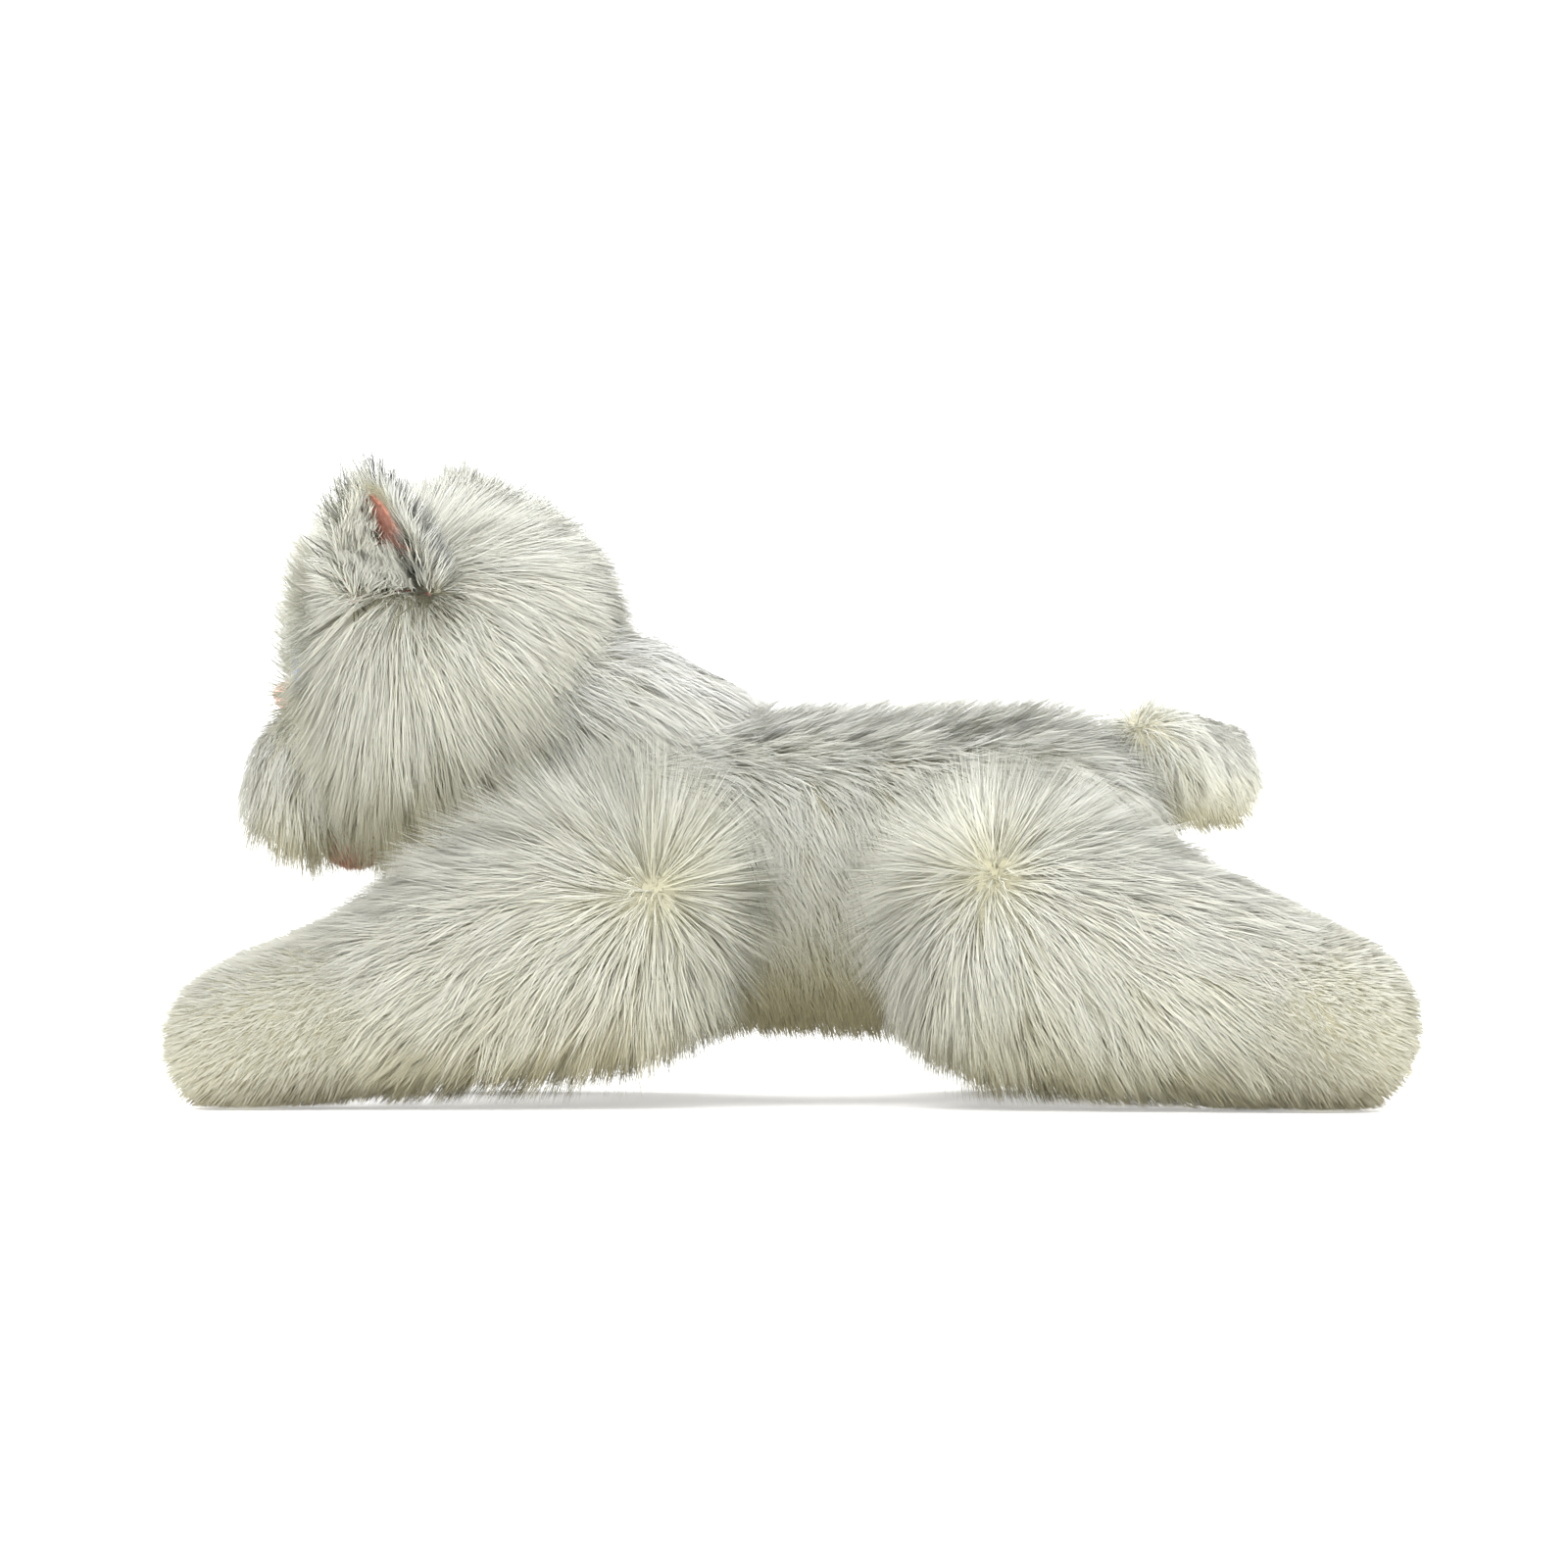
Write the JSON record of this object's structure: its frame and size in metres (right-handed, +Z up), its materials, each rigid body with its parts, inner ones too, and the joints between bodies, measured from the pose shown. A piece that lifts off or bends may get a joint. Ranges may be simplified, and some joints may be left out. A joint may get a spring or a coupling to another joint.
{
  "type": "plush cat",
  "caption": "Long-haired white plush cat lying on its belly, with sewn fur covers, fibre stuffing, pellet bags and a head, ears, legs and tail that flex at their seams.",
  "frame": {"origin": "centre of the bounding box on the surface that the cat lies on", "axes": "+X from nose to tail, so the cat faces -X; the cat's left side is -Y; +Z up"},
  "size_m": [0.296, 0.176, 0.1533],
  "materials": {
    "long_pile_fur": "long soft pile, cream white with paler tips",
    "short_pile_fur": "short dense pile, cream white",
    "fibre_stuffing": "loose white fibre",
    "pellet_bag_cloth": "plain woven undyed cloth",
    "pink_plush": "very short pink pile",
    "nose_plush": "velour, dusty pink",
    "eye_plastic": "glossy blue iris with a dark pupil",
    "washer_plastic": "plain satin"
  },
  "bodies": {
    "torso": {"torso_left_panel": "long_pile_fur", "torso_right_panel": "long_pile_fur", "belly_panel": "long_pile_fur", "torso_stuffing": "fibre_stuffing", "torso_pellet_bag": "pellet_bag_cloth"},
    "neck": {"neck_ruff": "long_pile_fur", "neck_stuffing": "fibre_stuffing"},
    "head": {"head_left_panel": "long_pile_fur", "head_right_panel": "long_pile_fur", "head_gusset": "long_pile_fur", "head_stuffing": "fibre_stuffing", "muzzle_cover": "long_pile_fur", "muzzle_stuffing": "fibre_stuffing", "chin_lip": "pink_plush", "nose": "nose_plush", "left_eye": "eye_plastic", "right_eye": "eye_plastic", "left_eye_washer": "washer_plastic", "right_eye_washer": "washer_plastic"},
    "left_ear": {"left_ear_back": "long_pile_fur", "left_ear_lining": "pink_plush"},
    "right_ear": {"right_ear_back": "long_pile_fur", "right_ear_lining": "pink_plush"},
    "front_left_root": {"front_left_root_wad": "fibre_stuffing"},
    "front_left_leg": {"front_left_sleeve": "long_pile_fur", "front_left_paw": "short_pile_fur", "front_left_stuffing": "fibre_stuffing", "front_left_pellet_bag": "pellet_bag_cloth"},
    "front_right_root": {"front_right_root_wad": "fibre_stuffing"},
    "front_right_leg": {"front_right_sleeve": "long_pile_fur", "front_right_paw": "short_pile_fur", "front_right_stuffing": "fibre_stuffing", "front_right_pellet_bag": "pellet_bag_cloth"},
    "hind_left_root": {"hind_left_root_wad": "fibre_stuffing"},
    "hind_left_leg": {"hind_left_thigh": "long_pile_fur", "hind_left_paw": "short_pile_fur", "hind_left_stuffing": "fibre_stuffing", "hind_left_pellet_bag": "pellet_bag_cloth"},
    "hind_right_root": {"hind_right_root_wad": "fibre_stuffing"},
    "hind_right_leg": {"hind_right_thigh": "long_pile_fur", "hind_right_paw": "short_pile_fur", "hind_right_stuffing": "fibre_stuffing", "hind_right_pellet_bag": "pellet_bag_cloth"},
    "tail_root": {"tail_root_wad": "fibre_stuffing"},
    "tail": {"tail_cover": "long_pile_fur", "tail_stuffing": "fibre_stuffing"}
  },
  "joints": [
    {"name": "neck_turn", "type": "hinge", "parent": "torso", "child": "neck", "pos_m": [-0.04, 0, 0.09], "axis": [0, 0, 1], "range_deg": [-10, 36], "stiffness_Nm_per_rad": 0.6},
    {"name": "head_nod", "type": "hinge", "parent": "neck", "child": "head", "pos_m": [-0.04, 0, 0.09], "axis": [0.2419, 0.9703, 0], "range_deg": [-3, 15], "stiffness_Nm_per_rad": 1.2},
    {"name": "left_ear_flex", "type": "hinge", "parent": "head", "child": "left_ear", "pos_m": [-0.09407, -0.01847, 0.126], "axis": [0.7988, -0.5978, 0.067], "range_deg": [-12, 12], "stiffness_Nm_per_rad": 0.02},
    {"name": "right_ear_flex", "type": "hinge", "parent": "head", "child": "right_ear", "pos_m": [-0.07908, 0.04169, 0.126], "axis": [-0.986, -0.1528, -0.067], "range_deg": [-12, 12], "stiffness_Nm_per_rad": 0.02},
    {"name": "front_left_splay", "type": "hinge", "parent": "torso", "child": "front_left_root", "pos_m": [-0.044, -0.04, 0.042], "axis": [0, 0, 1], "range_deg": [-3, 15], "stiffness_Nm_per_rad": 0.3},
    {"name": "front_left_lift", "type": "hinge", "parent": "front_left_root", "child": "front_left_leg", "pos_m": [-0.044, -0.04, 0.042], "axis": [0, 1, 0], "range_deg": [-10, 8], "stiffness_Nm_per_rad": 0.4},
    {"name": "front_right_splay", "type": "hinge", "parent": "torso", "child": "front_right_root", "pos_m": [-0.044, 0.04, 0.042], "axis": [0, 0, -1], "range_deg": [-3, 15], "stiffness_Nm_per_rad": 0.3},
    {"name": "front_right_lift", "type": "hinge", "parent": "front_right_root", "child": "front_right_leg", "pos_m": [-0.044, 0.04, 0.042], "axis": [0, 1, 0], "range_deg": [-10, 8], "stiffness_Nm_per_rad": 0.4},
    {"name": "hind_left_splay", "type": "hinge", "parent": "torso", "child": "hind_left_root", "pos_m": [0.056, -0.047, 0.04], "axis": [0, 0, -1], "range_deg": [0, 16], "stiffness_Nm_per_rad": 0.3},
    {"name": "hind_left_lift", "type": "hinge", "parent": "hind_left_root", "child": "hind_left_leg", "pos_m": [0.056, -0.047, 0.04], "axis": [0, -1, 0], "range_deg": [-8, 9], "stiffness_Nm_per_rad": 0.4},
    {"name": "hind_right_splay", "type": "hinge", "parent": "torso", "child": "hind_right_root", "pos_m": [0.056, 0.047, 0.04], "axis": [0, 0, 1], "range_deg": [0, 16], "stiffness_Nm_per_rad": 0.3},
    {"name": "hind_right_lift", "type": "hinge", "parent": "hind_right_root", "child": "hind_right_leg", "pos_m": [0.056, 0.047, 0.04], "axis": [0, -1, 0], "range_deg": [-8, 9], "stiffness_Nm_per_rad": 0.4},
    {"name": "tail_swing", "type": "hinge", "parent": "torso", "child": "tail_root", "pos_m": [0.088, 0, 0.0845], "axis": [0, 0, -1], "range_deg": [0, 90], "stiffness_Nm_per_rad": 0.03},
    {"name": "tail_lift", "type": "hinge", "parent": "tail_root", "child": "tail", "pos_m": [0.088, 0, 0.0845], "axis": [0.9048, -0.4258, 0], "range_deg": [-2, 25], "stiffness_Nm_per_rad": 0.05}
  ]
}
